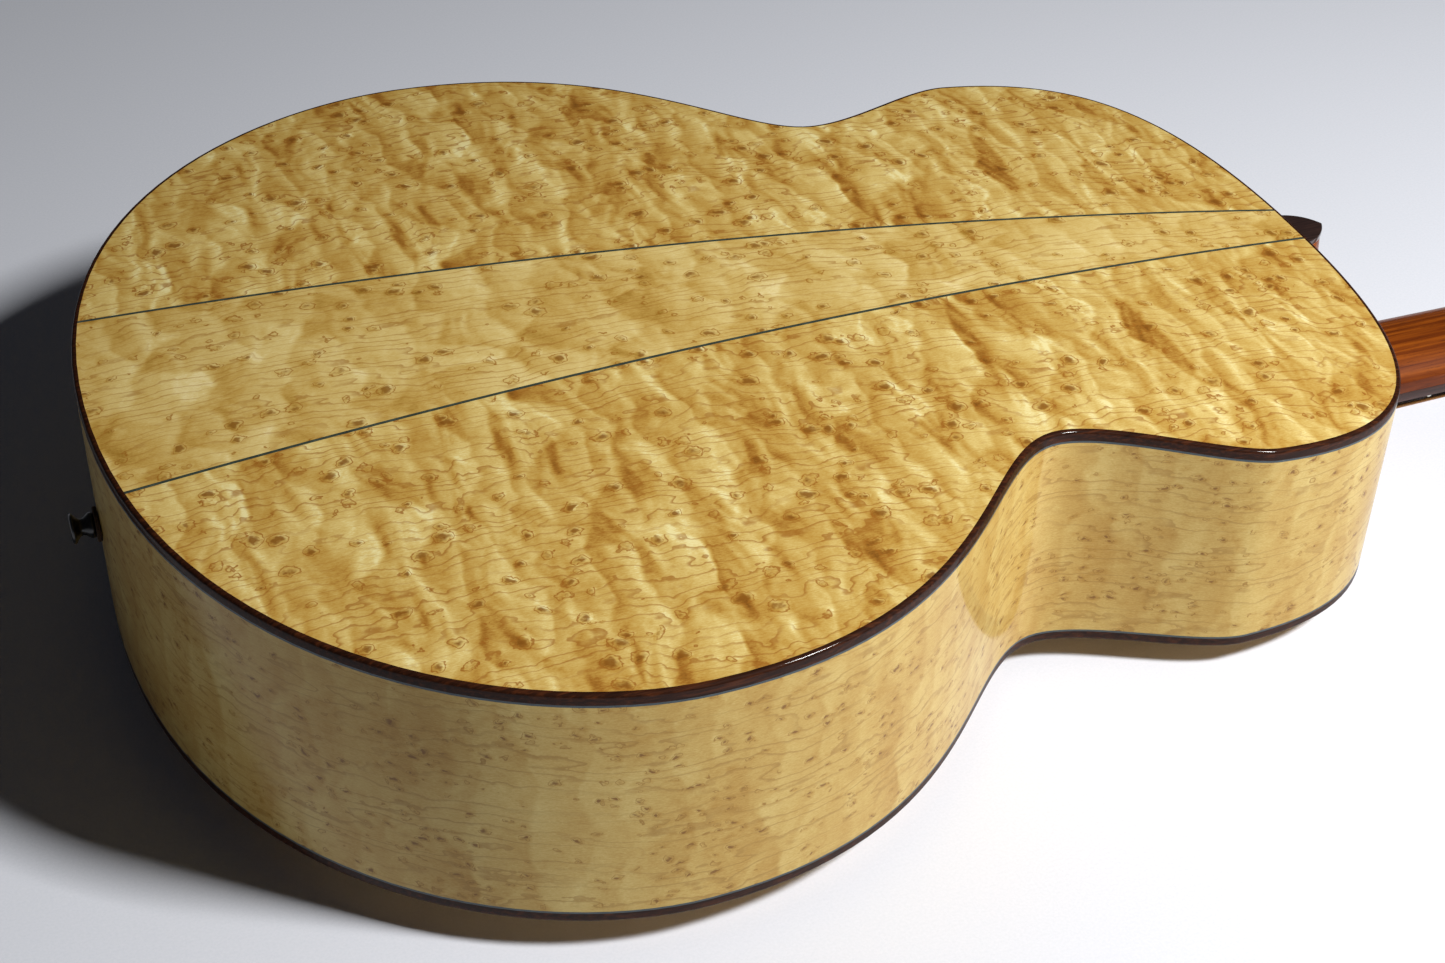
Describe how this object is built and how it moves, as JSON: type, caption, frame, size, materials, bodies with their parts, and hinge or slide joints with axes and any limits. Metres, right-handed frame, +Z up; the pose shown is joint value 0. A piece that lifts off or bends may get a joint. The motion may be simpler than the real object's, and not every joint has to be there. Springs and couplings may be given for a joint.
{
  "type": "acoustic guitar",
  "caption": "Flat-top steel-string acoustic guitar lying on its strings, with a waisted box body, three-piece arched back, long neck and angled headstock with tuning machines.",
  "frame": {"origin": "on the surface that the guitar lies on, under the middle of its overall length and width", "axes": "+X from the tail to the headstock, +Z up through the back, bass side towards -Y"},
  "size_m": [1.0538, 0.418, 0.1252],
  "materials": {
    "maple_back": "glossy lacquer over birdseye maple",
    "maple_wedge": "glossy lacquer over pale birdseye maple",
    "maple_side": "glossy lacquer over bent birdseye maple",
    "rosewood_binding": "glossy lacquer over dark rosewood",
    "grey_purfling": "dyed grey veneer under lacquer",
    "spruce_top": "glossy lacquer over spruce",
    "rosette_inlay": "plain rings of dyed veneer and shell",
    "brace_spruce": "bare spruce",
    "mahogany": "glossy lacquer over mahogany",
    "ebony": "oiled ebony",
    "rosewood_board": "oiled rosewood",
    "bone": "polished bone",
    "rod_steel": "plain",
    "plain_steel": "bright",
    "wound_bronze": "wound, bright",
    "tuner_chrome": "polished",
    "black_button": "glossy black",
    "felt_washer": "matt"
  },
  "bodies": {
    "body_and_neck": {"back_bass_wing": "maple_back", "back_treble_wing": "maple_back", "back_centre_wedge": "maple_wedge", "back_strip_bass": "grey_purfling", "back_strip_treble": "grey_purfling", "side_bass": "maple_side", "side_treble": "maple_side", "back_binding": "rosewood_binding", "top_binding": "rosewood_binding", "back_side_purfling": "grey_purfling", "top_side_purfling": "grey_purfling", "soundboard": "spruce_top", "rosette": "rosette_inlay", "neck_block": "mahogany", "tail_block": "mahogany", "top_lining": "brace_spruce", "back_lining": "brace_spruce", "x_brace": "brace_spruce", "upper_transverse_brace": "brace_spruce", "tone_bar_1": "brace_spruce", "tone_bar_2": "brace_spruce", "bridge_plate": "maple_wedge", "back_brace_1": "brace_spruce", "back_brace_2": "brace_spruce", "back_brace_3": "brace_spruce", "back_brace_4": "brace_spruce", "bridge": "ebony", "saddle": "bone", "neck": "mahogany", "heel_cap": "ebony", "fingerboard": "rosewood_board", "nut": "bone", "headplate": "ebony", "truss_rod": "rod_steel", "strap_button": "black_button", "strap_button_washer": "felt_washer", "string_1": "plain_steel", "tuner_housing_1": "tuner_chrome", "string_2": "plain_steel", "tuner_housing_2": "tuner_chrome", "string_3": "wound_bronze", "tuner_housing_3": "tuner_chrome", "string_4": "wound_bronze", "tuner_housing_4": "tuner_chrome", "string_5": "wound_bronze", "tuner_housing_5": "tuner_chrome", "string_6": "wound_bronze", "tuner_housing_6": "tuner_chrome"},
    "tuner_button_1": {"tuner_button_1": "tuner_chrome"},
    "tuner_post_1": {"tuner_post_1": "tuner_chrome"},
    "tuner_button_2": {"tuner_button_2": "tuner_chrome"},
    "tuner_post_2": {"tuner_post_2": "tuner_chrome"},
    "tuner_button_3": {"tuner_button_3": "tuner_chrome"},
    "tuner_post_3": {"tuner_post_3": "tuner_chrome"},
    "tuner_button_4": {"tuner_button_4": "tuner_chrome"},
    "tuner_post_4": {"tuner_post_4": "tuner_chrome"},
    "tuner_button_5": {"tuner_button_5": "tuner_chrome"},
    "tuner_post_5": {"tuner_post_5": "tuner_chrome"},
    "tuner_button_6": {"tuner_button_6": "tuner_chrome"},
    "tuner_post_6": {"tuner_post_6": "tuner_chrome"}
  },
  "joints": [
    {"name": "tuner_button_1_turn", "type": "hinge", "parent": "body_and_neck", "child": "tuner_button_1", "pos_m": [0.39912, 0.024, 0.03871], "axis": [0, 1, 0], "range_deg": [-720, 720]},
    {"name": "tuner_post_1_turn", "type": "hinge", "parent": "body_and_neck", "child": "tuner_post_1", "pos_m": [0.39659, 0.024, 0.01857], "axis": [-0.2455, 0, 0.9694], "range_deg": [-45, 45]},
    {"name": "tuner_button_2_turn", "type": "hinge", "parent": "body_and_neck", "child": "tuner_button_2", "pos_m": [0.4379, 0.026, 0.04852], "axis": [0, 1, 0], "range_deg": [-720, 720]},
    {"name": "tuner_post_2_turn", "type": "hinge", "parent": "body_and_neck", "child": "tuner_post_2", "pos_m": [0.43537, 0.026, 0.02839], "axis": [-0.2455, 0, 0.9694], "range_deg": [-45, 45]},
    {"name": "tuner_button_3_turn", "type": "hinge", "parent": "body_and_neck", "child": "tuner_button_3", "pos_m": [0.47668, 0.028, 0.05834], "axis": [0, 1, 0], "range_deg": [-720, 720]},
    {"name": "tuner_post_3_turn", "type": "hinge", "parent": "body_and_neck", "child": "tuner_post_3", "pos_m": [0.47414, 0.028, 0.03821], "axis": [-0.2455, 0, 0.9694], "range_deg": [-45, 45]},
    {"name": "tuner_button_4_turn", "type": "hinge", "parent": "body_and_neck", "child": "tuner_button_4", "pos_m": [0.46233, -0.028, 0.05471], "axis": [0, -1, 0], "range_deg": [-720, 720]},
    {"name": "tuner_post_4_turn", "type": "hinge", "parent": "body_and_neck", "child": "tuner_post_4", "pos_m": [0.47414, -0.028, 0.03821], "axis": [-0.2455, 0, 0.9694], "range_deg": [-45, 45]},
    {"name": "tuner_button_5_turn", "type": "hinge", "parent": "body_and_neck", "child": "tuner_button_5", "pos_m": [0.42355, -0.026, 0.04489], "axis": [0, -1, 0], "range_deg": [-720, 720]},
    {"name": "tuner_post_5_turn", "type": "hinge", "parent": "body_and_neck", "child": "tuner_post_5", "pos_m": [0.43537, -0.026, 0.02839], "axis": [-0.2455, 0, 0.9694], "range_deg": [-45, 45]},
    {"name": "tuner_button_6_turn", "type": "hinge", "parent": "body_and_neck", "child": "tuner_button_6", "pos_m": [0.38478, -0.024, 0.03507], "axis": [0, -1, 0], "range_deg": [-720, 720]},
    {"name": "tuner_post_6_turn", "type": "hinge", "parent": "body_and_neck", "child": "tuner_post_6", "pos_m": [0.39659, -0.024, 0.01857], "axis": [-0.2455, 0, 0.9694], "range_deg": [-45, 45]}
  ],
  "couplings": [
    {"joint": "tuner_post_1_turn", "follows": "tuner_button_1_turn", "ratio": 0.055556},
    {"joint": "tuner_post_2_turn", "follows": "tuner_button_2_turn", "ratio": 0.055556},
    {"joint": "tuner_post_3_turn", "follows": "tuner_button_3_turn", "ratio": 0.055556},
    {"joint": "tuner_post_4_turn", "follows": "tuner_button_4_turn", "ratio": 0.055556},
    {"joint": "tuner_post_5_turn", "follows": "tuner_button_5_turn", "ratio": 0.055556},
    {"joint": "tuner_post_6_turn", "follows": "tuner_button_6_turn", "ratio": 0.055556}
  ]
}
